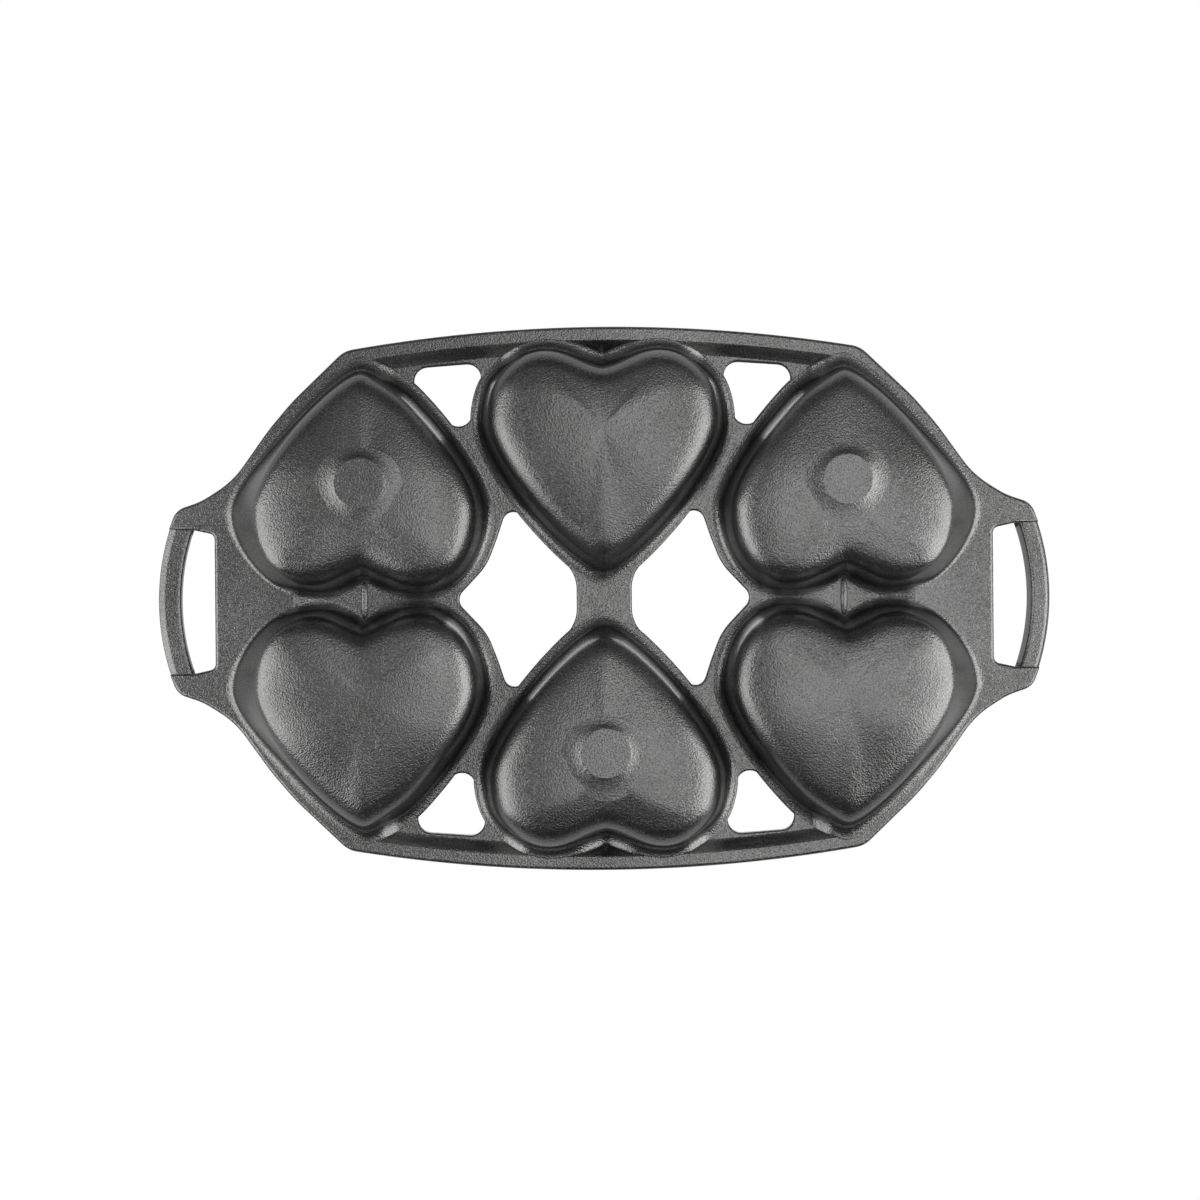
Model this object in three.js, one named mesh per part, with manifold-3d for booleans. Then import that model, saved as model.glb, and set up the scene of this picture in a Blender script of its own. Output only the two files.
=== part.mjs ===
// Cast iron mini cake pan: six heart cups in a web, two loop handles, three feet.
// Millimetres. x runs along the pan, y across it (front is -y) and z up.
// The pan stands as it is used, cups open upwards and feet on z = 0.

import * as THREE from 'three';
import { mergeVertices } from 'three/addons/utils/BufferGeometryUtils.js';
import Module from 'manifold-3d';

const wasm = await Module();
wasm.setup();

// The casting
const panHeight = 35; // feet to deck top
const webThickness = 5;
const edgeDepth = 9; // rims and wings, deeper than the web
const seam = 0.3; // gap between neighbouring pieces

// Heart outline of a cup where its wall meets the underside of the web
const cupLength = 98.6; // lobes to tip
const halfWidth = 50.8; // axis to widest point
const widestAt = 35; // lobes to widest point
const lobeReach = 22.4; // axis to lobe top
const cleftDepth = 9;
const cleftAngle = 35; // degrees, rise of the outline out of the cleft
const cleftCurve = 8; // this and the next five are lengths of curve handles
const lobeInnerCurve = 10;
const lobeOuterCurve = 15.5;
const sideCurve = 19;
const flankCurve = 19.5;
const tipCurve = 11;
const flare = 5.5; // extra reach of the corner cups' outer sides at the web
const flareFade = 9; // inset at which the flare has died out
const flareCrispness = 0.38; // how much the flare shortens the handles beside it
const tipLead = 1.45; // travel of the tip for each millimetre of inset

// Section of a cup
const cupFillet = 1.7; // where the wall meets the web
const wallDraft = 3; // lean of the wall, from web to shoulder
const wallThickness = 4.6;
const floorThickness = 4.8;
const shoulderRadius = 7; // turn from wall to floor, outside
const innerShoulderRadius = 5;
const floorCrown = 2.4; // dome of the floor, from its edge to its middle
const crownInset = 19; // inset of the ring where the dome begins to level off
const crownRise = 0.9; // that ring above the lowest point
const floorCentreAt = 40; // lobes to the middle of the floor
const mouthRound = 1.5; // rounded edge of the cavity

// Layout of the cups
const tipGap = 14; // between the tips of the two middle cups
const lobeGap = 1.9; // between the lobes of neighbouring corner cups
const neckWidth = 6; // web between a middle cup and a corner cup, along x

// Rims along the front and back
const rimWidth = 2.5; // middle cup's lobes to the edge
const edgeRadius = 608; // bow of the front and back edges
const lipWidth = 4.8; // flat underside of the lip
const lipSlope = 4.2; // slope from the lip up to the web
const cleftTabOverlap = 1;

// Wings, ears and handles
const sideStrip = 2.4; // corner cup's outer flank to the side edge
const waistAt = 48; // centre line to the hollow bend between side and ear
const waistRound = 7.4;
const earTopAt = 34.6; // centre line to the ear's outer corner
const earRound = 5.5;
const barHalf = 29; // half the span of the bar between the ears
const barEndSkew = 0.4; // how much shorter the bar is along its inner edge
const endDeck = 8.4; // corner cup's side to the finger slot
const fingerGap = 13.7; // slot width at its middle
const barWidth = 9;
const barDepth = 6.6;
const barRadius = 95; // bow of the bar's outer edge
const slotTaper = 2.3; // how much shorter each half of the slot is at the deck side
const slotRound = 2.5;

// Windows in the web
const middleFlange = 2.2; // web left between a window and a middle cup
const lobeFlange = 3.8; // between a central window and a corner cup
const flankFlange = 1.6; // between a corner window and a corner cup
const neckHalf = 11; // half the waist of the web between the middle cups' tips
const neckBend = 9; // where the centre web starts to widen
const centralTopIn = 9.1; // neck middle to the central window's upper corner, inwards
const centralTopDown = 12.6;
const centralOuter = 38.4; // column to the central window's outer end
const centralOuterHalf = 6;
const cornerInnerOut = 7.9; // neck middle to the corner window's inner corner, outwards
const cornerInnerUp = 11.8;
const cornerNearSide = 2.7; // middle cup's widest point to the window's near corner
const cornerFarSide = 13.9; // column to the window's far corner
const windowLand = 1.9; // web between the lip's slope and a corner window
const windowRound = 6;

// Feet and ribs
const footProud = 1.2; // feet below the lowest point of the floors
const footDiameter = 21.4;
const footCollar = 30; // diameter of the sloped collar at its root
const footHeight = 2.4;
const footAt = 45; // lobes to the foot's centre
const ribWidth = 2;
const ribDepth = 1;

// Facets of the curves
const cleftSteps = 4;
const lobeSteps = 6;
const flankSteps = 8;
const edgeSteps = 20;
const barSteps = 12;
const footSides = 32;
const shoulderSteps = 3;
const roundSteps = 6;
const cutterRun = 10; // cutters reach this far past the casting

// Finish
const ironColour = 0x3b3b3c;
const ironRoughness = 0.55;
const ironMetalness = 0.6;

// Levels
const webUnder = panHeight - webThickness;
const edgeUnder = panHeight - edgeDepth;
const floorEdge = footProud + floorCrown;
const rad = THREE.MathUtils.degToRad;

// Half of a heart outline, from the cleft round one lobe to the tip. It starts in the
// cleft on the axis. u is the distance from the axis, v the distance from the lobe tops.
// A positive inset draws the outline in, a negative one lets it out.
function halfHeart(inset, sideFlare) {
  const scale = (halfWidth - inset) / halfWidth;
  const reach = sideFlare * Math.max(0, 1 - inset / flareFade);
  const crisp = sideFlare > 0 ? 1 - flareCrispness * (reach / sideFlare) : 1;
  const cleft = new THREE.Vector2(0, cleftDepth + inset);
  const lobe = new THREE.Vector2(lobeReach, inset);
  const side = new THREE.Vector2(halfWidth + reach - inset, widestAt);
  const tip = new THREE.Vector2(0, cupLength - tipLead * inset);
  const rise = new THREE.Vector2(Math.cos(rad(cleftAngle)), -Math.sin(rad(cleftAngle)));
  const handle = (point, u, v) => new THREE.Vector2(point.x + u * scale, point.y + v * scale);
  const curves = [
    new THREE.CubicBezierCurve(cleft, handle(cleft, cleftCurve * rise.x, cleftCurve * rise.y),
      handle(lobe, -lobeInnerCurve, 0), lobe),
    new THREE.CubicBezierCurve(lobe, handle(lobe, lobeOuterCurve, 0),
      handle(side, 0, -sideCurve * crisp), side),
    new THREE.CubicBezierCurve(side, handle(side, 0, flankCurve * crisp),
      handle(tip, tipCurve, 0), tip),
  ];
  const steps = [cleftSteps, lobeSteps, flankSteps];
  const points = [cleft];
  curves.forEach((curve, index) => {
    points.push(...curve.getPoints(steps[index]).slice(1));
  });
  return points;
}

// A whole heart, anticlockwise seen from above, with its own flare on each side.
function heartRing(inset, cup) {
  const right = halfHeart(inset, cup.rightFlare);
  const left = halfHeart(inset, cup.leftFlare).slice(1, -1).reverse();
  const mirrored = left.map((point) => new THREE.Vector2(-point.x, point.y));
  return [...right, ...mirrored];
}

// Widest distance from the axis to a half outline at one distance from the lobes.
function reachAt(half, v) {
  let widest = 0;
  for (let i = 1; i < half.length; i += 1) {
    const a = half[i - 1];
    const b = half[i];
    if ((a.y - v) * (b.y - v) <= 0 && a.y !== b.y) {
      const share = (v - a.y) / (b.y - a.y);
      widest = Math.max(widest, a.x + share * (b.x - a.x));
    }
  }
  return widest;
}

// The middle cups point inwards, the corner cups outwards, so their flanks lie side by
// side. The columns stand as close as the narrowest web between them allows.
const middleLobesAt = tipGap / 2 + cupLength;
const cornerLobesAt = lobeGap / 2;
const plainHalf = halfHeart(0, 0);
const neck = { sum: 0, y: 0, middleReach: 0 };
for (let i = 0; i <= edgeSteps; i += 1) {
  const y = THREE.MathUtils.lerp(cornerLobesAt + widestAt, middleLobesAt - widestAt, i / edgeSteps);
  const middleReach = reachAt(plainHalf, middleLobesAt - y);
  const sum = middleReach + reachAt(plainHalf, y - cornerLobesAt);
  if (sum > neck.sum) {
    Object.assign(neck, { sum, y, middleReach });
  }
}
const columnPitch = neck.sum + neckWidth;
const neckX = neck.middleReach + neckWidth / 2;
const frontEdge = middleLobesAt + rimWidth;
const slotEdge = columnPitch + halfWidth + endDeck;
const barInner = slotEdge + fingerGap;
const barOuter = barInner + barWidth;
const barCentre = barOuter - barRadius;
const windowTop = neck.y - centralTopDown;

function edgeAt(x) {
  return frontEdge - edgeRadius + Math.sqrt(edgeRadius ** 2 - x ** 2);
}

function barEdgeAt(y, radius) {
  return barCentre + Math.sqrt(radius ** 2 - y ** 2);
}

// Solids and booleans
function solidOf(geometry) {
  const bare = geometry.clone();
  bare.deleteAttribute('normal');
  bare.deleteAttribute('uv');
  const merged = mergeVertices(bare);
  return new wasm.Manifold(new wasm.Mesh({
    numProp: 3,
    vertProperties: new Float32Array(merged.attributes.position.array),
    triVerts: new Uint32Array(merged.index.array),
  }));
}

function geometryOf(solid) {
  const mesh = solid.getMesh();
  const geometry = new THREE.BufferGeometry();
  geometry.setAttribute('position', new THREE.BufferAttribute(mesh.vertProperties, mesh.numProp));
  geometry.setIndex(new THREE.BufferAttribute(mesh.triVerts, 1));
  geometry.computeVertexNormals();
  return geometry;
}

function cutAll(solid, cutters) {
  return cutters.reduce((left, cutter) => left.subtract(cutter), solid);
}

function prism(points, low, high) {
  const geometry = new THREE.ExtrudeGeometry(new THREE.Shape(points), {
    depth: high - low,
    bevelEnabled: false,
    steps: 1,
  });
  geometry.translate(0, 0, low);
  return geometry;
}

function block(xLow, xHigh, yLow, yHigh, low, high) {
  const geometry = new THREE.BoxGeometry(xHigh - xLow, yHigh - yLow, high - low);
  geometry.translate((xLow + xHigh) / 2, (yLow + yHigh) / 2, (low + high) / 2);
  return geometry;
}

// A closed skin over rings of equally many points, drawn together at both ends.
function skin(rings, firstCentre, lastCentre) {
  const count = rings[0].length;
  const points = [...rings.flat(), firstCentre, lastCentre];
  const first = points.length - 2;
  const last = points.length - 1;
  const faces = [];
  for (let j = 0; j < count; j += 1) {
    const next = (j + 1) % count;
    faces.push(first, next, j);
    for (let ring = 0; ring < rings.length - 1; ring += 1) {
      const low = ring * count;
      const high = low + count;
      faces.push(low + j, low + next, high + next);
      faces.push(low + j, high + next, high + j);
    }
    const end = (rings.length - 1) * count;
    faces.push(last, end + j, end + next);
  }
  const geometry = new THREE.BufferGeometry().setFromPoints(points);
  geometry.setIndex(faces);
  geometry.computeVertexNormals();
  return geometry;
}

function levelRing(points, z) {
  return points.map((point) => new THREE.Vector3(point.x, point.y, z));
}

// A polygon with each corner drawn round. The radius gives way on short sides.
function roundedPolygon(corners, radius) {
  const path = new THREE.Path();
  const bend = (index) => {
    const corner = corners[index % corners.length];
    const before = corners[(index + corners.length - 1) % corners.length];
    const after = corners[(index + 1) % corners.length];
    const back = before.clone().sub(corner);
    const ahead = after.clone().sub(corner);
    const opening = Math.abs(back.angleTo(ahead)) / 2;
    const run = Math.min(radius / Math.tan(opening), back.length() / 2, ahead.length() / 2);
    return {
      corner,
      start: corner.clone().addScaledVector(back.normalize(), run),
      end: corner.clone().addScaledVector(ahead.normalize(), run),
    };
  };
  corners.forEach((_, index) => {
    const { corner, start, end } = bend(index);
    if (index === 0) {
      path.moveTo(start.x, start.y);
    } else {
      path.lineTo(start.x, start.y);
    }
    path.quadraticCurveTo(corner.x, corner.y, end.x, end.y);
  });
  path.closePath();
  return path.getPoints(roundSteps).slice(0, -1);
}

function mirrorPoints(points, sx, sy) {
  const turned = points.map((point) => new THREE.Vector2(point.x * sx, point.y * sy));
  return sx * sy < 0 ? turned.reverse() : turned;
}

const pan = new THREE.Group();

function addPiece(name, geometry) {
  const iron = new THREE.MeshStandardMaterial({
    color: ironColour,
    roughness: ironRoughness,
    metalness: ironMetalness,
  });
  const mesh = new THREE.Mesh(geometry, iron);
  mesh.name = name;
  pan.add(mesh);
  return mesh;
}

// Cups. Each stands in its own frame, lobes on y = 0 and tip towards +y, and is turned
// into place about the vertical.
const columns = [{ name: 'left', side: -1 }, { name: 'middle', side: 0 }, { name: 'right', side: 1 }];
const rows = [{ name: 'front', side: -1 }, { name: 'back', side: 1 }];
const cups = rows.flatMap((row) => columns.map((column) => {
  const inMiddle = column.side === 0;
  const pointing = inMiddle ? -row.side : row.side;
  const flareSide = column.side * pointing;
  return {
    name: `${row.name}_${column.name}`,
    inMiddle,
    rightFlare: flareSide > 0 ? flare : 0,
    leftFlare: flareSide < 0 ? flare : 0,
    place: new THREE.Matrix4()
      .makeTranslation(column.side * columnPitch, row.side * (inMiddle ? middleLobesAt : cornerLobesAt), 0)
      .multiply(new THREE.Matrix4().makeScale(pointing, pointing, 1)),
  };
}));

const wallFootInset = cupFillet + wallDraft;
const wallRun = webUnder - cupFillet - floorEdge - shoulderRadius;
const draftSlope = wallDraft / wallRun;

// A quarter turn from wall to floor: inset and level.
function shoulderTurn(foot, floor, radius) {
  return Array.from({ length: shoulderSteps + 1 }, (_, i) => {
    const angle = (Math.PI / 2) * (i / shoulderSteps);
    return { inset: foot + radius * (1 - Math.cos(angle)), z: floor + radius * (1 - Math.sin(angle)) };
  });
}

// Outside of a cup from the middle of its floor up to the web.
function outsideSteps() {
  return [
    { inset: crownInset, z: footProud + crownRise },
    ...shoulderTurn(wallFootInset, floorEdge, shoulderRadius).reverse(),
    { inset: cupFillet, z: webUnder - cupFillet },
    { inset: 0, z: webUnder },
  ];
}

// Inside of a cup from its mouth down to the middle of its floor.
function insideSteps() {
  const innerTop = cupFillet + wallThickness - draftSlope * (webThickness + cupFillet);
  return [
    { inset: innerTop - mouthRound, z: panHeight },
    { inset: innerTop + draftSlope * mouthRound, z: panHeight - mouthRound },
    ...shoulderTurn(wallFootInset + wallThickness, floorEdge + floorThickness, innerShoulderRadius),
    { inset: crownInset + wallThickness / 2, z: footProud + crownRise + floorThickness },
  ];
}

function cupGeometry(cup) {
  const rim = { inset: 0, z: panHeight };
  const steps = [...outsideSteps(), rim, ...insideSteps()];
  const rings = steps.map((step) => levelRing(heartRing(step.inset, cup), step.z));
  const underside = new THREE.Vector3(0, floorCentreAt, footProud);
  const inside = new THREE.Vector3(0, floorCentreAt, footProud + floorThickness);
  return skin(rings, underside, inside);
}

// The full bulk of a cup without its cavity, let out sideways and lowered by clearances.
function cupBulk(cup, clearance, drop) {
  const top = panHeight + cutterRun;
  const steps = [...outsideSteps(), { inset: 0, z: top }];
  const rings = steps.map((step) => levelRing(heartRing(step.inset - clearance, cup), step.z));
  const floorCentre = new THREE.Vector3(0, floorCentreAt, footProud);
  const topCentre = new THREE.Vector3(0, floorCentreAt, top);
  return solidOf(skin(rings, floorCentre, topCentre).translate(0, 0, -drop).applyMatrix4(cup.place));
}

// A straight heart-shaped cutter, a flange wider than the cup.
function flangeCutter(cup, flange) {
  const shape = heartRing(-flange, cup);
  return solidOf(prism(shape, -cutterRun, panHeight + cutterRun).applyMatrix4(cup.place));
}

cups.forEach((cup) => {
  addPiece(`heart_cup_${cup.name}`, cupGeometry(cup).applyMatrix4(cup.place));
});
const cupHoles = cups.map((cup) => cupBulk(cup, seam, 0));

// Windows. Their blanks are trimmed so that a flange stays along every cup.
function webInnerEdge(x) {
  return edgeAt(x) - lipWidth - lipSlope;
}

const nearCorner = halfWidth - cornerNearSide;
const farCorner = columnPitch - cornerFarSide;
const cornerWindow = roundedPolygon([
  new THREE.Vector2(neckX + cornerInnerOut, neck.y + cornerInnerUp),
  new THREE.Vector2(farCorner, webInnerEdge(farCorner) - windowLand),
  new THREE.Vector2(nearCorner, webInnerEdge(nearCorner) - windowLand),
], windowRound);
const centralWindow = roundedPolygon([
  new THREE.Vector2(neckHalf, -neckBend),
  new THREE.Vector2(neckX - centralTopIn, -windowTop),
  new THREE.Vector2(columnPitch - centralOuter, -centralOuterHalf),
  new THREE.Vector2(columnPitch - centralOuter, centralOuterHalf),
  new THREE.Vector2(neckX - centralTopIn, windowTop),
  new THREE.Vector2(neckHalf, neckBend),
], windowRound);
function windowHole(plan, cornerFlange) {
  const blank = solidOf(prism(plan, -cutterRun, panHeight + cutterRun));
  return cutAll(blank, cups.map((cup) => flangeCutter(cup, cup.inMiddle ? middleFlange : cornerFlange)));
}

const windows = [-1, 1].flatMap((side) => [
  windowHole(mirrorPoints(centralWindow, side, 1), lobeFlange),
  ...rows.map((row) => windowHole(mirrorPoints(cornerWindow, side, row.side), flankFlange)),
]);

// Web. One plate with the cups and windows cut out of it, divided where it is narrowest.
const webEnd = columnPitch + lobeReach;
const webEdgePoints = (side) => Array.from({ length: edgeSteps + 1 }, (_, i) => {
  const x = THREE.MathUtils.lerp(-columnPitch, columnPitch, i / edgeSteps);
  return new THREE.Vector2(x, side * (webInnerEdge(x) - seam));
});
const webPlan = [
  ...webEdgePoints(-1),
  new THREE.Vector2(webEnd - seam / 2, -cornerLobesAt - widestAt),
  new THREE.Vector2(webEnd - seam / 2, cornerLobesAt + widestAt),
  ...webEdgePoints(1).reverse(),
  new THREE.Vector2(-webEnd + seam / 2, cornerLobesAt + widestAt),
  new THREE.Vector2(-webEnd + seam / 2, -cornerLobesAt - widestAt),
];
const webPlate = cutAll(solidOf(prism(webPlan, webUnder, panHeight)), [...cupHoles, ...windows]);
const cutX = neckX - centralTopIn;
const cutY = windowTop - windowRound;

function webPiece(name, xLow, xHigh, yLow, yHigh) {
  const region = solidOf(block(xLow, xHigh, yLow, yHigh, -cutterRun, panHeight + cutterRun));
  addPiece(name, geometryOf(webPlate.intersect(region)));
}

webPiece('web_centre', -cutX, cutX, -cutY, cutY);
webPiece('web_left', -webEnd, -cutX, -cutY, cutY);
webPiece('web_right', cutX, webEnd, -cutY, cutY);
rows.forEach((row) => {
  const near = cutY + seam;
  const yLow = row.side < 0 ? -frontEdge : near;
  const yHigh = row.side < 0 ? -near : frontEdge;
  webPiece(`web_${row.name}_left`, -columnPitch, -lobeReach, yLow, yHigh);
  webPiece(`web_${row.name}_right`, lobeReach, columnPitch, yLow, yHigh);
});

// Rims. A lip with a sloped inner side, swept along the bowed edge between the tips of
// the corner cups, with a tab that fills the cleft of the middle cup.
function rimSection(x, side) {
  const edge = edgeAt(x);
  const profile = [
    [edge, edgeUnder],
    [edge, panHeight],
    [edge - lipWidth - lipSlope, panHeight],
    [edge - lipWidth - lipSlope, webUnder],
    [edge - lipWidth, edgeUnder],
  ];
  const ring = profile.map(([y, z]) => new THREE.Vector3(x, side * y, z));
  return side > 0 ? ring.reverse() : ring;
}

function rimSolid(side) {
  const end = columnPitch - seam / 2;
  const rings = Array.from({ length: edgeSteps + 1 }, (_, i) => (
    rimSection(THREE.MathUtils.lerp(end, -end, i / edgeSteps), side)
  ));
  const middleOf = (ring) => ring
    .reduce((sum, point) => sum.add(point), new THREE.Vector3())
    .divideScalar(ring.length);
  const sweep = skin(rings, middleOf(rings[0]), middleOf(rings[rings.length - 1]));
  const tabBase = webInnerEdge(lobeReach) + cleftTabOverlap;
  const tab = mirrorPoints([
    new THREE.Vector2(0, middleLobesAt - cleftDepth - cleftTabOverlap),
    new THREE.Vector2(lobeReach, tabBase),
    new THREE.Vector2(-lobeReach, tabBase),
  ], 1, side);
  return solidOf(sweep).add(solidOf(prism(tab, webUnder, panHeight)));
}

rows.forEach((row) => {
  addPiece(`rim_${row.name}`, geometryOf(cutAll(rimSolid(row.side), cupHoles)));
});

// Wings. The side edge runs along the corner cup's outer flank, trimmed by the front
// edge, then bends out into the ear that carries the bar.
function wingPlan() {
  const flank = halfHeart(-sideStrip, flare).slice(cleftSteps + lobeSteps).reverse();
  const sidePoints = flank.map((point) => {
    const x = columnPitch + point.x;
    return new THREE.Vector2(x, Math.min(cornerLobesAt + point.y, edgeAt(x)));
  });
  const sideX = (y) => {
    const after = sidePoints.findIndex((point) => point.y < y);
    const a = sidePoints[after - 1];
    const b = sidePoints[after];
    return a.x + (b.x - a.x) * ((a.y - y) / (a.y - b.y));
  };
  const bendStart = waistAt + waistRound;
  const waist = new THREE.Vector2(sideX(waistAt), waistAt);
  const earCorner = new THREE.Vector2(barEdgeAt(earTopAt, barRadius), earTopAt);
  const earTop = waist.clone().sub(earCorner).setLength(earRound).add(earCorner);
  const slotEnd = barHalf - slotTaper;
  const quarter = new THREE.Path();
  quarter.moveTo(columnPitch + seam / 2, edgeAt(columnPitch));
  sidePoints.filter((point) => point.x > columnPitch + seam && point.y > bendStart).forEach((point) => {
    quarter.lineTo(point.x, point.y);
  });
  quarter.lineTo(sideX(bendStart), bendStart);
  quarter.quadraticCurveTo(waist.x, waist.y, earTop.x, earTop.y);
  quarter.quadraticCurveTo(earCorner.x, earCorner.y, barEdgeAt(barHalf, barRadius), barHalf);
  quarter.lineTo(barEdgeAt(barHalf, barRadius - barWidth), barHalf - barEndSkew);
  quarter.lineTo(slotEdge + slotRound, slotEnd);
  quarter.quadraticCurveTo(slotEdge, slotEnd, slotEdge, slotEnd - slotRound);
  const half = quarter.getPoints(roundSteps);
  const inner = [
    new THREE.Vector2(columnPitch + seam / 2, cornerLobesAt + cupLength / 2),
    new THREE.Vector2(webEnd + seam / 2, cornerLobesAt + cleftDepth),
  ];
  return [...inner.reverse(), ...half];
}

[-1, 1].forEach((side) => {
  const upper = wingPlan();
  const lower = upper.map((point) => new THREE.Vector2(point.x, -point.y)).reverse();
  const plan = mirrorPoints([...upper, ...lower].reverse(), side, 1);
  const name = side < 0 ? 'left' : 'right';
  const plate = solidOf(prism(plan, edgeUnder, panHeight));
  addPiece(`wing_${name}`, geometryOf(cutAll(plate, cupHoles)));
});

// Handle bars between the ears, flush with the deck top.
[-1, 1].forEach((side) => {
  const arc = (radius, from, to) => Array.from({ length: barSteps + 1 }, (_, i) => {
    const y = THREE.MathUtils.lerp(from, to, i / barSteps);
    return new THREE.Vector2(barEdgeAt(y, radius), y);
  });
  const outerEnd = barHalf - seam;
  const innerEnd = outerEnd - barEndSkew;
  const plan = [
    ...arc(barRadius, -outerEnd, outerEnd),
    ...arc(barRadius - barWidth, innerEnd, -innerEnd),
  ];
  const name = side < 0 ? 'left' : 'right';
  addPiece(`handle_${name}`, prism(mirrorPoints(plan, side, 1), panHeight - barDepth, panHeight));
});

// Feet: flat discs with a sloped collar, seated against the domed floors of three cups.
const footedCups = ['front_left', 'front_right', 'back_middle'];
cups.filter((cup) => footedCups.includes(cup.name)).forEach((cup) => {
  const blank = new THREE.CylinderGeometry(footCollar / 2, footDiameter / 2, footHeight, footSides);
  blank.rotateX(Math.PI / 2);
  blank.translate(0, footAt, footHeight / 2);
  const foot = solidOf(blank.applyMatrix4(cup.place)).subtract(cupBulk(cup, 0, seam));
  addPiece(`foot_${cup.name}`, geometryOf(foot));
});

// Ribs under the web between the clefts of neighbouring corner cups.
[-1, 1].forEach((side) => {
  const x = side * columnPitch;
  const half = ribWidth / 2;
  const reach = cornerLobesAt + cleftDepth - half * Math.tan(rad(cleftAngle)) - seam;
  const name = side < 0 ? 'left' : 'right';
  addPiece(`rib_${name}`, block(x - half, x + half, -reach, reach, webUnder - ribDepth, webUnder));
});

export default pan;
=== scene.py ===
import math
import bmesh
import bpy
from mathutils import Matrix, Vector


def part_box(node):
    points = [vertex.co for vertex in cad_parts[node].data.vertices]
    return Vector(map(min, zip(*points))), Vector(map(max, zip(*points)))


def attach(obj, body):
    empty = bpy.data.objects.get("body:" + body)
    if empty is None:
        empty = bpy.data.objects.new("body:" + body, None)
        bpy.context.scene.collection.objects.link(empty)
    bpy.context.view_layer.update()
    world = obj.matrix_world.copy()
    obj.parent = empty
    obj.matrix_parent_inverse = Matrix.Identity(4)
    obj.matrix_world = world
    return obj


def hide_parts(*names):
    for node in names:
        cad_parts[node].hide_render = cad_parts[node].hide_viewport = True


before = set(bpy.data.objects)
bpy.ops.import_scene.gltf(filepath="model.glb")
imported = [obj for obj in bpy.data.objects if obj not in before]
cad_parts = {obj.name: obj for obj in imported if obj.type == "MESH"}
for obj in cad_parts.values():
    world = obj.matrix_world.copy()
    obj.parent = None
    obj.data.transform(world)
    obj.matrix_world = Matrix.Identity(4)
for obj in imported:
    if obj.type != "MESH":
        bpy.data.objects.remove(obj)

# Cast iron mini cake pan, in metres, standing as it is used: cups open upwards, feet on z = 0.
# The photo shows it turned over, so the main camera looks straight up at the underside.
# Image right is +X and image top is the front, -Y.

scene = bpy.context.scene
scene.view_settings.view_transform = "Standard"
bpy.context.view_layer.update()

# Levels and places that the frame fixes
skinShift = {"lobes": 0.0009, "floor": 0.0002}  # of the cups' skins, off the low corner of a corner cup
wingLow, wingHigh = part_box("wing_right")
deckTop = wingHigh.z
rimLevel = wingLow.z
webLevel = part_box("web_centre")[0].z
middleLow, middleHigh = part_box("heart_cup_back_middle")
halfWidth = middleHigh.x
cupLength = middleHigh.y - middleLow.y
middleLobes = middleHigh.y
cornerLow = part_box("heart_cup_back_right")[0]
cornerLobes = cornerLow.y - skinShift["lobes"]
floorLow = cornerLow.z + skinShift["floor"]
ribLow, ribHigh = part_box("rib_right")
pitch = (ribLow.x + ribHigh.x) / 2
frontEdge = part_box("rim_back")[1].y
barLow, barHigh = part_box("handle_right")


# Number helpers

def mix(a, b, share):
    return a + (b - a) * share


def spread(first, last, steps):
    return [mix(first, last, k / steps) for k in range(steps + 1)]


def smooth(start, end, value):
    share = min(1.0, max(0.0, (value - start) / (end - start)))
    return share * share * (3 - 2 * share)


# Mesh helpers
meshing = {"flatNormal": 0.99995, "cornerShare": 0.49, "cutTolerance": 1e-7, "mergeWithin": 1e-6}


def closedEdges(bm, verts):
    return [bm.edges.new((verts[i - 1], verts[i])) for i in range(len(verts))]


def loft(rings):
    # a closed skin through rings that have the same number of points
    bm = bmesh.new()
    verts = [bm.verts.new(point) for point in rings[0]]
    edges = closedEdges(bm, verts)
    bmesh.ops.edgeloop_fill(bm, edges=edges)
    for ring in rings[1:]:
        made = bmesh.ops.extrude_edge_only(bm, edges=edges)["geom"]
        fresh = {item for item in made if isinstance(item, bmesh.types.BMVert)}
        ahead = []
        for vert in verts:
            ahead.append(next(e.other_vert(vert) for e in vert.link_edges if e.other_vert(vert) in fresh))
        for vert, point in zip(ahead, ring):
            vert.co = point
        verts = ahead
        edges = [bm.edges.get((verts[i - 1], verts[i])) for i in range(len(verts))]
    bmesh.ops.edgeloop_fill(bm, edges=edges)
    bmesh.ops.recalc_face_normals(bm, faces=bm.faces)
    return bm


def toObject(name, bm):
    mesh = bpy.data.meshes.new(name)
    bm.to_mesh(mesh)
    bm.free()
    made = bpy.data.objects.new(name, mesh)
    scene.collection.objects.link(made)
    return made


def shade(bm, degrees):
    # flat faces stay flat, and the rounded strips beside them stay smooth
    bm.normal_update()
    for face in bm.faces:
        face.smooth = True
    for edge in bm.edges:
        if len(edge.link_faces) == 2:
            flats = [abs(face.normal.z) > meshing["flatNormal"] for face in edge.link_faces]
            edge.smooth = flats[0] == flats[1] and edge.calc_face_angle(0) < math.radians(degrees)


def roundedPath(corners, steps):
    # corners are (x, y, radius), the path is closed
    points = []
    for i, (x, y, radius) in enumerate(corners):
        here = Vector((x, y))
        if radius == 0:
            points.append(here)
            continue
        before = Vector(corners[i - 1][:2]) - here
        after = Vector(corners[(i + 1) % len(corners)][:2]) - here
        opening = before.angle(after) / 2
        longest = meshing["cornerShare"] * min(before.length, after.length)
        run = min(radius / math.tan(opening), longest)
        before.normalize()
        after.normalize()
        middle = here + (before + after).normalized() * (run / math.cos(opening))
        start = here + before * run - middle
        end = here + after * run - middle
        for angle in spread(0, -start.angle_signed(end), steps):
            cos, sin = math.cos(angle), math.sin(angle)
            points.append(middle + Vector((start.x * cos - start.y * sin, start.x * sin + start.y * cos)))
    return points


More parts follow.
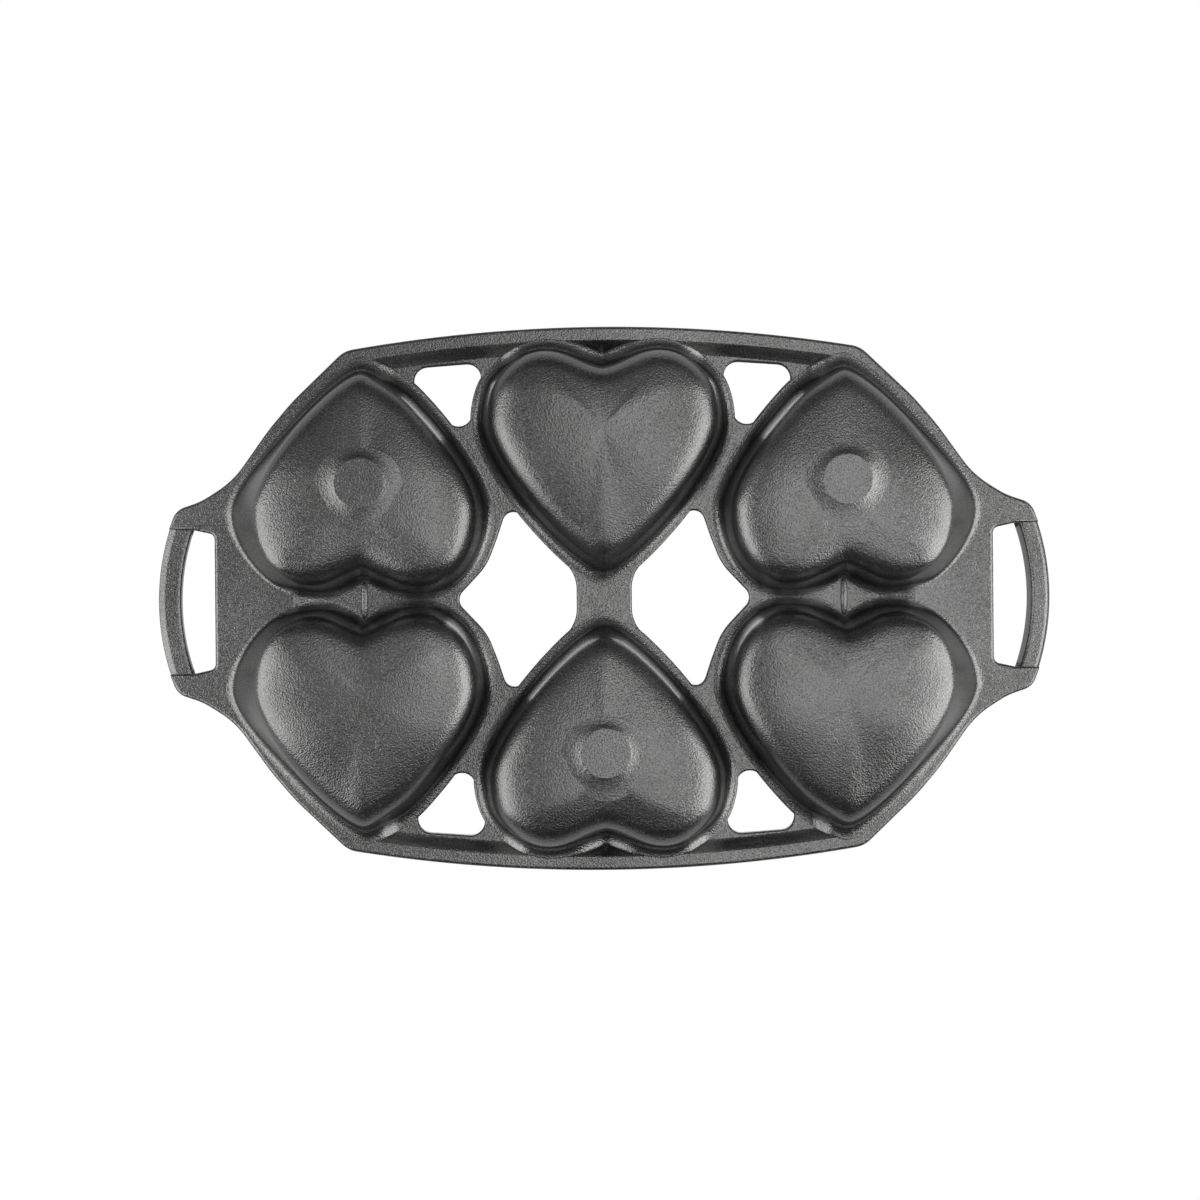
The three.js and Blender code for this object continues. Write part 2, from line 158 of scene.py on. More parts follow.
def grown(points, amount):
    # each point of a closed anticlockwise path moved out along its own normal
    moved = []
    for i, point in enumerate(points):
        along = (points[(i + 1) % len(points)] - point).normalized() + (point - points[i - 1]).normalized()
        normal = Vector((along.y, -along.x)).normalized()
        moved.append(point + normal * amount)
    return moved


def level(points, z):
    return [Vector((point.x, point.y, z)) for point in points]


def quarterTurn(radius, steps):
    # (drawn in, risen) along a rounded edge, from its flat face to its side
    return [(radius * (1 - math.sin(turn)), radius * (1 - math.cos(turn)))
            for turn in spread(0, math.pi / 2, steps)]


# Heart outline: x is the distance from the axis, y the distance from the lobe tops
heart = {
    "widestAt": 0.035, "lobeReach": 0.0224, "cleftDepth": 0.0074, "cleftAngle": 35, "cleftFade": 0.013,
    "cleftCurve": 0.008, "lobeInner": 0.010, "lobeOuter": 0.0155, "sideCurve": 0.019,
    "flankCurve": 0.0195, "tipCurve": 0.011, "tipLead": 1.45,
    "flare": 0.0055, "flareFade": 0.009, "flareCrispness": 0.38,
    "steps": (10, 20, 32),  # cleft to lobe, lobe to side, side to tip
}
halfStops = []
for part, count in enumerate(heart["steps"]):
    halfStops += [(part, k / count) for k in range(count)]
halfStops.append((2, 1.0))
ringStops = [(1, *stop) for stop in halfStops] + [(-1, *stop) for stop in reversed(halfStops[1:-1])]


def heartPoint(stop, inset, flares):
    side, part, t = stop
    flare = flares[side]
    shrink = (halfWidth - inset) / halfWidth
    reach = flare * max(0.0, 1 - inset / heart["flareFade"])
    crisp = 1 - heart["flareCrispness"] * reach / heart["flare"]
    angle = math.radians(heart["cleftAngle"]) * min(1.0, max(0.0, 1 - inset / heart["cleftFade"]))
    cleft = Vector((0, heart["cleftDepth"] + inset))
    lobe = Vector((heart["lobeReach"], inset))
    wide = Vector((halfWidth + reach - inset, heart["widestAt"]))
    tip = Vector((0, cupLength - heart["tipLead"] * inset))
    rise = Vector((math.cos(angle), -math.sin(angle))) * heart["cleftCurve"]
    curves = (
        (cleft, cleft + rise * shrink, lobe - Vector((heart["lobeInner"], 0)) * shrink, lobe),
        (lobe, lobe + Vector((heart["lobeOuter"], 0)) * shrink,
         wide - Vector((0, heart["sideCurve"])) * shrink * crisp, wide),
        (wide, wide + Vector((0, heart["flankCurve"])) * shrink * crisp,
         tip + Vector((heart["tipCurve"], 0)) * shrink, tip),
    )
    a, b, c, d = curves[part]
    s = 1 - t
    point = a * s ** 3 + b * 3 * s * s * t + c * 3 * s * t * t + d * t ** 3
    return Vector((side * point.x, point.y))


# Cups: the corner ones have their lobes at the middle line and flare on the outer side
cups = []
for rowName, row in (("front", -1), ("back", 1)):
    for columnName, column in (("left", -1), ("middle", 0), ("right", 1)):
        way = row if column else -row
        flares = {1: 0.0, -1: 0.0}
        if column:
            flares[column * way] = heart["flare"]
        cups.append({
            "name": rowName + "_" + columnName,
            "x": column * pitch,
            "y": row * (cornerLobes if column else middleLobes),
            "way": way,
            "flares": flares,
        })


def placed(cup, point, z):
    return Vector((cup["x"] + cup["way"] * point.x, cup["y"] + cup["way"] * point.y, z))


# Deck: rims, wings and web
deck = {
    "edgeRadius": 0.608, "edgeSteps": 24, "underRound": 0.0012, "topRound": 0.0010, "roundSteps": 6,
    "lip": 0.0052, "slope": 0.0050, "slopeEase": 0.6, "slopeSteps": 12,
    "rampOut": 0.1236, "rampIn": 0.1106, "rampHalf": 0.012, "mouthHalf": 0.016, "wingFrom": 0.030,
    "pocketBack": 0.0025, "pocketSteps": 32, "pocketPast": 0.004,
    "side": (  # corners as (x, y, radius), from the rim's end to the ear
        (0.1026, 0.0994, 0.012), (0.1236, 0.0793, 0.100), (0.1330, 0.0682, 0.090), (0.1474, 0.0480, 0.060),
        (0.1600, 0.0400, 0.030),
    ),
    "earTop": 0.0366, "earRound": 0.0075, "barHalf": 0.029, "barSkew": 0.0004,
    "barWidth": 0.009, "barRadius": 0.095, "slotEdge": 0.15485, "slotHalf": 0.0267, "slotRound": 0.0025,
    "cornerSteps": 8, "neckCut": 0.0515, "webCut": 0.0378, "softTo": 40,
}
barCentre = barHigh.x - deck["barRadius"]
barInner = deck["barRadius"] - deck["barWidth"]


def edgeAt(x):
    return frontEdge - deck["edgeRadius"] + math.sqrt(deck["edgeRadius"] ** 2 - x * x)


def barEdge(y, radius):
    return barCentre + math.sqrt(radius * radius - y * y)


def slopeShare(t):
    t = min(1.0, max(0.0, t))
    return mix(t, smooth(0, 1, t), deck["slopeEase"])


def deckShare(x, y):
    # 1 at the level of rims and wings, 0 at the level of the web
    x, y = abs(x), abs(y)
    if x > pitch:
        if y > deck["wingFrom"]:
            return 1.0
        return slopeShare((x - deck["rampIn"]) / (deck["rampOut"] - deck["rampIn"]))
    return 1 - slopeShare((edgeAt(x) - y - deck["lip"]) / deck["slope"])


def perimeter():
    # corners of one quarter, from the middle of the rim to the slot, then mirrored all round
    quarter = [(x, edgeAt(x), 0) for x in spread(0, pitch, deck["edgeSteps"])]
    quarter.extend(deck["side"])
    quarter.append((barEdge(deck["earTop"], deck["barRadius"]), deck["earTop"], deck["earRound"]))
    quarter.append((barEdge(deck["barHalf"], deck["barRadius"]), deck["barHalf"], 0))
    quarter.append((barEdge(deck["barHalf"], barInner), deck["barHalf"] - deck["barSkew"], 0))
    quarter.append((deck["slotEdge"], deck["slotHalf"], deck["slotRound"]))
    right = [(x, -y, r) for x, y, r in quarter] + [(x, y, r) for x, y, r in reversed(quarter)]
    left = [(-x, y, r) for x, y, r in quarter[1:]] + [(-x, -y, r) for x, y, r in reversed(quarter[1:])]
    return roundedPath(right + left, deck["cornerSteps"])


outline = perimeter()
underTurn = quarterTurn(deck["underRound"], deck["roundSteps"])
topTurn = quarterTurn(deck["topRound"], deck["roundSteps"])
plateRings = [level(grown(outline, -inset), rimLevel + rise) for inset, rise in underTurn]
plateRings += [level(grown(outline, -inset), deckTop - drop) for inset, drop in reversed(topTurn)]
plate = toObject("deckPlate", loft(plateRings))


def pocketRing(t, z):
    # the sunk web's outline, from the rims' lips at t = 0 to the foot of their slopes at t = 1
    reach = pitch - deck["pocketBack"]
    neck = mix(deck["rampOut"], deck["rampIn"], t)
    depth = deck["lip"] + deck["slope"] * t
    half = [Vector((x, depth - edgeAt(x))) for x in spread(-reach, reach, deck["pocketSteps"])]
    half.append(Vector((reach, -deck["mouthHalf"])))
    half.append(Vector((neck, -deck["rampHalf"])))
    half.append(Vector((neck, deck["rampHalf"])))
    half.append(Vector((reach, deck["mouthHalf"])))
    return level(half + [-point for point in half], z)


pocketRings = [pocketRing(0, rimLevel - deck["pocketPast"])]
for t in spread(0, 1, deck["slopeSteps"]):
    pocketRings.append(pocketRing(t, mix(rimLevel, webLevel, slopeShare(t))))
cutters = [toObject("pocketCutter", loft(pocketRings))]

# Windows: corners as (x, y, radius) in the right back quarter
window = {
    "corner": ((0.0817, 0.0920, 0.0055), (0.0467, 0.0945, 0.0055), (0.0546, 0.0637, 0.0055)),
    "central": ((0.0110, 0.0093, 0.014), (0.0378, 0.0389, 0.0045), (0.0426, 0.0245, 0.025),
                (0.0468, 0.0135, 0.025), (0.0595, 0.0, 0.0045)),
    "round": 0.0009, "roundSteps": 6, "cornerSteps": 8, "past": 0.0006,
}


def windowCutter(name, corners):
    path = roundedPath(corners, window["cornerSteps"])
    area = sum(a.x * b.y - b.x * a.y for a, b in zip(path, path[1:] + path[:1]))
    if area < 0:
        path.reverse()
    turns = quarterTurn(window["round"], window["roundSteps"])[1:]
    past = window["past"]
    steps = [(window["round"] + past, webLevel - past)]
    steps += [(out, webLevel + rise) for out, rise in turns]
    steps += [(out, deckTop - drop) for out, drop in reversed(turns)]
    steps += [(window["round"] + past, deckTop + past)]
    return toObject(name, loft([level(grown(path, out), z) for out, z in steps]))


centralHalf = list(window["central"])
centralWhole = centralHalf + [(x, -y, r) for x, y, r in reversed(centralHalf[:-1])]
for side in (-1, 1):
    cutters.append(windowCutter("centralCutter", [(side * x, y, r) for x, y, r in centralWhole]))
    for row in (-1, 1):
        cutters.append(windowCutter("cornerCutter", [(side * x, row * y, r) for x, y, r in window["corner"]]))

# Section of a cup, as insets from the heart outline. The wall differs where it stands on the web,
# where a corner cup's tip or a middle cup's lobes meet a rim, and on the flared outer lobes.
cupSection = {
    "wallTop": {"web": 0.0022, "tip": 0.0044, "lobe": 0.0062, "flared": 0.00165},
    "fillet": {"web": 0.0044, "tip": 0.0046, "lobe": 0.0050, "flared": 0.0022},
    "wallFoot": {"web": 0.0052, "tip": 0.0064, "lobe": 0.0078, "flared": 0.0087},
    "shoulder": {"web": 0.0105, "tip": 0.0105, "lobe": 0.0105, "flared": 0.0045},
    "filletStop": 84, "sink": ((0.0003, 0.00002), (0.0005, 0.0003)), "draft": 0.1695,
    "rimFade": (0.004, 0.022), "neckFade": (0.104, 0.132),
    "flareStart": (0.0, 0.35), "flareEnd": (0.15, 0.6), "tipStart": (0.25, 0.85),
    "edgeTilt": 18, "edgeFade": 0.0055, "tipFade": 0.016, "tipRise": 0.0034, "domeTilt": 4, "domeRun": 0.035,
    "mouthAt": 0.0036, "mouthRound": 0.0015, "mouthStop": 82, "mouthLap": 0.0002, "mouthDip": 0.00003,
    "innerWall": 0.00516, "innerShoulder": 0.008, "floorThick": 0.0048,
    "hubInset": 0.0165, "hubAt": 0.038, "hubStart": 0.02, "hubPower": 1.3, "hubNudge": 0.0005,
    "hubSteps": 14, "domeSteps": 8, "shoulderSteps": 14, "wallSteps": 4, "filletSteps": 12,
    "mouthSteps": 7, "innerWallSteps": 5, "innerShoulderSteps": 10, "cutterPast": 0.01,
}


def cupRing(cup, inset, z):
    return [placed(cup, heartPoint(stop, inset, cup["flares"]), z) for stop in ringStops]


for cup in cups:
    past = cupSection["cutterPast"]
    ends = [cupRing(cup, cupSection["mouthAt"], z) for z in (rimLevel - past, deckTop + past)]
    cutters.append(toObject("cupCutter", loft(ends)))

for cutter in cutters:
    cut = plate.modifiers.new("cut", "BOOLEAN")
    cut.operation = "DIFFERENCE"
    cut.solver = "EXACT"
    cut.object = cutter
bpy.context.view_layer.update()
cutMesh = bpy.data.meshes.new_from_object(plate.evaluated_get(bpy.context.evaluated_depsgraph_get()))
for tool in cutters + [plate]:
    bpy.data.objects.remove(tool)
print("deck cut:", len(cutMesh.vertices), "points")

# The cut deck is divided into the pieces that the frame names
toRight, toBack = Vector((1, 0, 0)), Vector((0, 1, 0))
pieces = []


def keep(piece, *solids):
    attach(piece, "root")
    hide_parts(*solids)
    pieces.append(piece)


def beyond(way, distance):
    # a plane that takes off what lies further than this along the way
    return way * distance, way


def deckPiece(name, planes):
    bm = bmesh.new()
    bm.from_mesh(cutMesh)
    bmesh.ops.triangulate(bm, faces=bm.faces)
    for point, normal in planes:
        geom = bm.verts[:] + bm.edges[:] + bm.faces[:]
        bmesh.ops.bisect_plane(bm, geom=geom, dist=meshing["cutTolerance"], plane_co=point, plane_no=normal,
                               clear_outer=True)
        bmesh.ops.holes_fill(bm, edges=[edge for edge in bm.edges if edge.is_boundary])
    bmesh.ops.triangulate(bm, faces=[face for face in bm.faces if len(face.verts) > 4])
    shade(bm, deck["softTo"])
    return toObject(name, bm)


rightEnd, leftEnd = beyond(toRight, pitch), beyond(-toRight, pitch)
rimSides = [beyond(toBack, deck["neckCut"]), beyond(-toBack, deck["neckCut"])]
webSides = [beyond(toRight, deck["webCut"]), beyond(-toRight, deck["webCut"])]
deckCuts = {
    "wingRight": ([beyond(-toRight, -pitch)], ["wing_right"]),
    "wingLeft": ([beyond(toRight, -pitch)], ["wing_left"]),
    "rimFront": ([rightEnd, leftEnd, beyond(toBack, -deck["neckCut"])],
                 ["rim_front", "web_front_left", "web_front_right"]),
    "rimBack": ([rightEnd, leftEnd, beyond(-toBack, -deck["neckCut"])],
                ["rim_back", "web_back_left", "web_back_right"]),
    "webCentre": (rimSides + webSides, ["web_centre"]),
    "webRight": (rimSides + [rightEnd, beyond(-toRight, -deck["webCut"])], ["web_right"]),
    "webLeft": (rimSides + [leftEnd, beyond(toRight, -deck["webCut"])], ["web_left"]),
}
for name, (planes, solids) in deckCuts.items():
    keep(deckPiece(name, planes), *solids)
print("deck pieces:", len(pieces))


# Cups: one skin each, from the middle of the outside floor to the middle of the inside floor

def rimShare(x, y):
    # a slow change along the outline, from 0 beside the web to 1 beside a rim or wing
    x, y = abs(x), abs(y)
    if x > pitch:
        return 1.0 if y > deck["wingFrom"] else smooth(*cupSection["neckFade"], x)
    return 1 - smooth(*cupSection["rimFade"], edgeAt(x) - y)


def flareShare(stop, flares):
    side, part, t = stop
    if not flares[side] or part == 0:
        return 0.0
    return smooth(*cupSection["flareStart"], t) if part == 1 else 1 - smooth(*cupSection["flareEnd"], t)


def tipShare(stop):
    # the floor's slope is longer at the tip
    side, part, t = stop
    return smooth(*cupSection["tipStart"], t) if part == 2 else 0.0


edgeTilt = math.radians(cupSection["edgeTilt"])
domeTilt = math.radians(cupSection["domeTilt"])
floorTilt = edgeTilt + domeTilt


def domeDrop(run, fade):
    # how far the floor bulges out, at a distance in from its edge
    steep = edgeTilt * fade * (1 - math.exp(-run / fade))
    return steep + domeTilt * (run - run * run / 2 / cupSection["domeRun"])


def domeSlope(run, fade):
    return edgeTilt * math.exp(-run / fade) + domeTilt * (1 - run / cupSection["domeRun"])


floorEdge = floorLow + domeDrop(cupSection["domeRun"], cupSection["edgeFade"])


def outsidePath(cup, stop):
    # (inset, z) from the hub ring of the floor out over the shoulder and up the wall to the deck,
    # with the floor's slope at the hub ring
    edge = placed(cup, heartPoint(stop, 0.0, cup["flares"]), 0)
    share = rimShare(edge.x, edge.y)
    flared = flareShare(stop, cup["flares"])
    rim = "tip" if cup["x"] else "lobe"

    def sized(name):
        sizes = cupSection[name]
        return mix(mix(sizes["web"], sizes[rim], share), sizes["flared"], flared)

    wallTop, wallFoot = sized("wallTop"), sized("wallFoot")
    fillet, radius = sized("fillet"), sized("shoulder")
    start = placed(cup, heartPoint(stop, wallTop - fillet, cup["flares"]), 0)
    deckLevel = mix(webLevel, rimLevel, deckShare(start.x, start.y))
    nearTip = tipShare(stop)
    fade = mix(cupSection["edgeFade"], cupSection["tipFade"], nearTip)
    edgeLevel = floorEdge + cupSection["tipRise"] * nearTip

    # the wall runs straight from the fillet to the shoulder
    top = wallTop + (webLevel - deckLevel) * cupSection["draft"]
    steep = math.pi / 2 - math.atan2(wallFoot - top, deckLevel - edgeLevel - radius)
    turnZ = edgeLevel + radius * math.cos(floorTilt)
    footZ = turnZ - radius * math.cos(steep)
    slope = (wallFoot - top) / (deckLevel - footZ)
    lean = math.atan(slope)
    touch = deckLevel - fillet * (1 - math.sin(lean))
    turnInset = wallFoot + radius * math.sin(steep)
    edgeInset = turnInset - radius * math.sin(floorTilt)
    filletInset = top + (deckLevel - touch) * slope - fillet * math.cos(lean)

    path = []
    for inset in spread(cupSection["hubInset"], edgeInset, cupSection["domeSteps"]):
        path.append((inset, edgeLevel - domeDrop(inset - edgeInset, fade)))
    for turn in spread(floorTilt, steep, cupSection["shoulderSteps"])[1:]:
        path.append((turnInset - radius * math.sin(turn), turnZ - radius * math.cos(turn)))
    for z in spread(footZ, touch, cupSection["wallSteps"])[1:-1]:
        path.append((top + (deckLevel - z) * slope, z))
    for turn in spread(lean, math.radians(cupSection["filletStop"]), cupSection["filletSteps"]):
        path.append((filletInset + fillet * math.cos(turn), deckLevel - fillet + fillet * math.sin(turn)))
    for out, rise in cupSection["sink"]:
        path.append((filletInset - out, deckLevel + rise))
    return path, domeSlope(cupSection["hubInset"] - edgeInset, fade)


def hubRings(cup, hubRing, middle):
    # the middle of the floor, drawn in to its centre without a break in the slope
    # hubRing holds (z, slope) at each stop, middle is the level of the centre
    inset, nudge = cupSection["hubInset"], cupSection["hubNudge"]
    centre = Vector((0, cupSection["hubAt"]))
    points = [heartPoint(stop, inset, cup["flares"]) for stop in ringStops]
    lines = []
    for i, (z, slope) in enumerate(hubRing):
        along = points[(i + 1) % len(points)] - points[i - 1]
        inward = Vector((-along.y, along.x)).normalized()
        perInset = inward.dot(points[i] - heartPoint(ringStops[i], inset - nudge, cup["flares"])) / nudge
        fall = slope * inward.dot(centre - points[i]) / perInset
        lines.append((points[i] - centre, z - middle, max(cupSection["hubPower"], fall / (z - middle))))
    rings = []
    for scale in spread(cupSection["hubStart"], 1, cupSection["hubSteps"])[:-1]:
        rings.append([placed(cup, centre + arm * scale, middle + drop * scale ** power)
                      for arm, drop, power in lines])
    return rings


def outsideRings(cup):
    paths, slopes = zip(*(outsidePath(cup, stop) for stop in ringStops))
    rings = hubRings(cup, [(path[0][1], slope) for path, slope in zip(paths, slopes)], floorLow)
    for steps in zip(*paths):
        rings.append([placed(cup, heartPoint(stop, inset, cup["flares"]), z)
                      for stop, (inset, z) in zip(ringStops, steps)])
    return rings


def innerInset(z):
    return cupSection["innerWall"] + (deckTop - z) * cupSection["draft"]


def insideRings(cup):
    # over the rounded mouth, down the inner wall and in to the middle of the floor
    mouth, edge = cupSection["mouthAt"], cupSection["mouthRound"]
    mouthStop = math.radians(cupSection["mouthStop"])
    rings = [cupRing(cup, mouth - cupSection["mouthLap"], deckTop - cupSection["mouthDip"])]
    for turn in spread(0, mouthStop, cupSection["mouthSteps"])[1:]:
        rings.append(cupRing(cup, mouth + edge * math.sin(turn), deckTop - edge * (1 - math.cos(turn))))

    steep = math.pi / 2 - math.atan(cupSection["draft"])
    radius = cupSection["innerShoulder"]
    innerEdge = floorEdge + cupSection["floorThick"]
    turnZ = innerEdge + radius * math.cos(floorTilt)
    footZ = turnZ - radius * math.cos(steep)
    wallStart = deckTop - edge * (1 - math.cos(mouthStop))
    for z in spread(wallStart, footZ, cupSection["innerWallSteps"])[1:-1]:
        rings.append(cupRing(cup, innerInset(z), z))
    turnInset = innerInset(footZ) + radius * math.sin(steep)
    for turn in spread(steep, floorTilt, cupSection["innerShoulderSteps"]):
        rings.append(cupRing(cup, turnInset - radius * math.sin(turn), turnZ - radius * math.cos(turn)))

    edgeInset, fade = turnInset - radius * math.sin(floorTilt), cupSection["edgeFade"]
    for inset in spread(edgeInset, cupSection["hubInset"], cupSection["domeSteps"])[1:]:
        rings.append(cupRing(cup, inset, innerEdge - domeDrop(inset - edgeInset, fade)))
    run = cupSection["hubInset"] - edgeInset
    hubRing = [(innerEdge - domeDrop(run, fade), domeSlope(run, fade))] * len(ringStops)
    rings.extend(reversed(hubRings(cup, hubRing, floorLow + cupSection["floorThick"])))
    return rings


for cup in cups:
    bm = loft(outsideRings(cup) + insideRings(cup))
    for face in bm.faces:
        face.smooth = True
    keep(toObject("cup_" + cup["name"], bm), "heart_cup_" + cup["name"])
print("cups:", len(cups))

# Handle bars, swept about the centre of their bow. Their tops lie a hair under the ears' tops.
bar = {
    "drop": 0.00005, "sink": 0.003,
    "chamfer": {"left": (0.0024, 0.0009), "right": (0.0011, 0.0014)},  # across, up
    "innerDraft": {"left": 0.0, "right": 0.0020},
    "edge": 0.0006, "underRound": 0.0022, "innerRound": 0.0018, "topRound": 0.0010,
    "steps": 48, "cornerSteps": 6, "softTo": 40,
}


def barSection(name):
    # (distance from the bow's centre, z)
    across, up = bar["chamfer"][name]
    outer = deck["barRadius"]
    under, top = barLow.z, deckTop - bar["drop"]
    return roundedPath([
        (outer, under + up, bar["edge"]),
        (outer, top, bar["topRound"]),
        (barInner, top, bar["topRound"]),
        (barInner + bar["innerDraft"][name], under, bar["innerRound"]),
        (outer - across, under, bar["underRound"]),
    ], bar["cornerSteps"])


sides = ((-1, "left"), (1, "right"))
barReach = math.asin((deck["barHalf"] + bar["sink"]) / (deck["barRadius"] - deck["barWidth"] / 2))
for side, name in sides:
    section = barSection(name)
    rings = []
    for turn in spread(-barReach, barReach, bar["steps"]):
        rings.append([Vector((side * (barCentre + p.x * math.cos(turn)), p.x * math.sin(turn), p.y))
                      for p in section])
    bm = loft(rings)
    shade(bm, bar["softTo"])
    keep(toObject("bar_" + name, bm), "handle_" + name)
print("bars:", len(sides))

# Feet, turned about their own axis and sunk into the domed floors
foot = {
    "profile": (  # (radius, z) from the middle of the pad out over the collar
        (0.0, 0.0), (0.0095, 0.0), (0.0098, 0.00004), (0.0100, 0.00014), (0.0107, 0.00034), (0.0115, 0.00061),
        (0.0125, 0.00090), (0.0137, 0.00118), (0.0150, 0.00142), (0.0160, 0.00157), (0.0170, 0.00170),
        (0.0172, 0.0036), (0.0, 0.0036),
    ),
    "collarFrom": 0.0101, "collarStretch": 0.25, "collarPinch": 0.4, "steps": 96, "softTo": 50,
}
footNames = ("front_left", "front_right", "back_middle")
for name in footNames:
    footLow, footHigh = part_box("foot_" + name)
    centre = (footLow + footHigh) / 2
    bm = bmesh.new()
    verts = [bm.verts.new((centre.x + r, centre.y, footLow.z + z)) for r, z in foot["profile"]]
    edges = [bm.edges.new(pair) for pair in zip(verts, verts[1:])]
    bmesh.ops.spin(bm, geom=verts + edges, cent=(centre.x, centre.y, 0), axis=(0, 0, 1), angle=math.tau,
                   steps=foot["steps"], use_merge=True)
    bmesh.ops.remove_doubles(bm, verts=bm.verts, dist=meshing["mergeWithin"])
    bmesh.ops.recalc_face_normals(bm, faces=bm.faces)
    tipWay = next(cup["way"] for cup in cups if cup["name"] == name)
    for vert in bm.verts:  # the collar is long on the lobes' side and steep on the tip's
        reach = math.hypot(vert.co.x - centre.x, vert.co.y - centre.y)
        toward = tipWay * (vert.co.y - centre.y) / max(reach, meshing["mergeWithin"])
        change = foot["collarStretch"] if toward < 0 else foot["collarPinch"]
        vert.co.y -= tipWay * change * toward ** 2 * max(0.0, reach - foot["collarFrom"])
    shade(bm, foot["softTo"])
    keep(toObject("pad_" + name, bm), "foot_" + name)
print("feet:", len(footNames))

# Ribs across the web between the clefts
rib = {
    "half": 0.0014, "deep": 0.0014, "reach": 0.0078, "sink": 0.001, "endPower": 4, "endShare": 0.08,
    "sections": 16, "roundSteps": 12, "softTo": 60,
}
for side, name in sides:
    rings = []
    for y in spread(-rib["reach"], rib["reach"], rib["sections"]):
        along = min(1.0, abs(y) / rib["reach"])
        share = max(rib["endShare"], math.sqrt(1 - along ** rib["endPower"]))
        half, deep = rib["half"] * share, rib["deep"] * share
        ring = [Vector((side * pitch + half * math.cos(turn), y, webLevel - deep * math.sin(turn)))
                for turn in spread(0, math.pi, rib["roundSteps"])]
        ring.append(Vector((side * pitch - half, y, webLevel + rib["sink"])))
        ring.append(Vector((side * pitch + half, y, webLevel + rib["sink"])))
        rings.append(ring)
    bm = loft(rings)
    shade(bm, rib["softTo"])
    keep(toObject("ridge_" + name, bm), "rib_" + name)
print("pieces:", len(pieces))

# Seasoned cast iron: a fine sand grain over a slow orange peel, a few pits
iron = {
    "metallic": 0.97, "roughness": (0.22, 0.36),
    "dark": (0.080, 0.079, 0.078, 1), "pale": (0.180, 0.179, 0.178, 1), "toneRange": (0.3, 0.7),
    "grain": (1450, 1), "peel": (420, 1), "patch": (26, 3), "pits": (420, 0),  # noise scale and detail
    "grainHeight": 0.8, "peelHeight": 0.15, "pitBelow": 0.24, "pitDepth": 0.25, "bump": 0.00022,
    "patchTone": 0.4, "grainTone": 0.6,
    "wallGrain": 0.3, "wallUpTo": 0.45, "flatFrom": 0.9,  # the grain is weaker on steep walls
}


def grainGroup():
    group = bpy.data.node_groups.new("castGrain", "ShaderNodeTree")
    group.interface.new_socket("Tone", in_out="OUTPUT", socket_type="NodeSocketFloat")
    group.interface.new_socket("Normal", in_out="OUTPUT", socket_type="NodeSocketVector")
    nodes, link = group.nodes, group.links.new
    place = nodes.new("ShaderNodeTexCoord")

    def noise(scale, detail):
        node = nodes.new("ShaderNodeTexNoise")
        node.inputs["Scale"].default_value = scale
        node.inputs["Detail"].default_value = detail
        link(place.outputs["Object"], node.inputs["Vector"])
        return node.outputs[0]

    def work(operation, a, b):
        node = nodes.new("ShaderNodeMath")
        node.operation = operation
        for socket, value in zip(node.inputs, (a, b)):
            if isinstance(value, (int, float)):
                socket.default_value = value
            else:
                link(value, socket)
        return node.outputs[0]

    def weighted(first, firstShare, second, secondShare):
        return work("ADD", work("MULTIPLY", first, firstShare), work("MULTIPLY", second, secondShare))

    fine = noise(*iron["grain"])
    peel = noise(*iron["peel"])
    patch = noise(*iron["patch"])
    pit = work("LESS_THAN", noise(*iron["pits"]), iron["pitBelow"])
    raised = weighted(fine, iron["grainHeight"], peel, iron["peelHeight"])
    height = work("SUBTRACT", raised, work("MULTIPLY", pit, iron["pitDepth"]))
    tone = weighted(patch, iron["patchTone"], fine, iron["grainTone"])

    split = nodes.new("ShaderNodeSeparateXYZ")
    link(place.outputs["Normal"], split.inputs[0])
    flat = nodes.new("ShaderNodeMapRange")
    flat.inputs["From Min"].default_value = iron["wallUpTo"]
    flat.inputs["From Max"].default_value = iron["flatFrom"]
    flat.inputs["To Min"].default_value = iron["wallGrain"]
    link(work("ABSOLUTE", split.outputs["Z"], 0), flat.inputs["Value"])
    bump = nodes.new("ShaderNodeBump")
    bump.inputs["Distance"].default_value = iron["bump"]
    link(flat.outputs[0], bump.inputs["Strength"])
    link(height, bump.inputs["Height"])
    out = nodes.new("NodeGroupOutput")
    link(tone, out.inputs["Tone"])
    link(bump.outputs["Normal"], out.inputs["Normal"])
    return group


def newMaterial(name):
    material = bpy.data.materials.new(name)
    material.use_nodes = True
    return material


def seasonedIron():
    material = newMaterial("seasonedIron")
    nodes, link = material.node_tree.nodes, material.node_tree.links.new
    shader = nodes["Principled BSDF"]
    shader.inputs["Metallic"].default_value = iron["metallic"]
    surface = nodes.new("ShaderNodeGroup")
    surface.node_tree = grainGroup()
    colour = nodes.new("ShaderNodeValToRGB")
    tones = zip(colour.color_ramp.elements, iron["toneRange"], (iron["dark"], iron["pale"]))
    for element, position, shown in tones:
        element.position = position
        element.color = shown
    link(surface.outputs["Tone"], colour.inputs[0])
    link(colour.outputs[0], shader.inputs["Base Color"])
    rough = nodes.new("ShaderNodeMapRange")
    rough.inputs["To Min"].default_value, rough.inputs["To Max"].default_value = iron["roughness"]
    link(surface.outputs["Tone"], rough.inputs["Value"])
    link(rough.outputs[0], shader.inputs["Roughness"])
    link(surface.outputs["Normal"], shader.inputs["Normal"])
    return material


ironFinish = seasonedIron()
for piece in pieces:
    piece.data.materials.clear()
    piece.data.materials.append(ironFinish)
print("material:", ironFinish.name)


# Stage

def mixedShader(tree, share, first, second):
    node = tree.nodes.new("ShaderNodeMixShader")
    for socket, source in zip(node.inputs, (share, first, second)):
        tree.links.new(source, socket)
    return node.outputs[0]


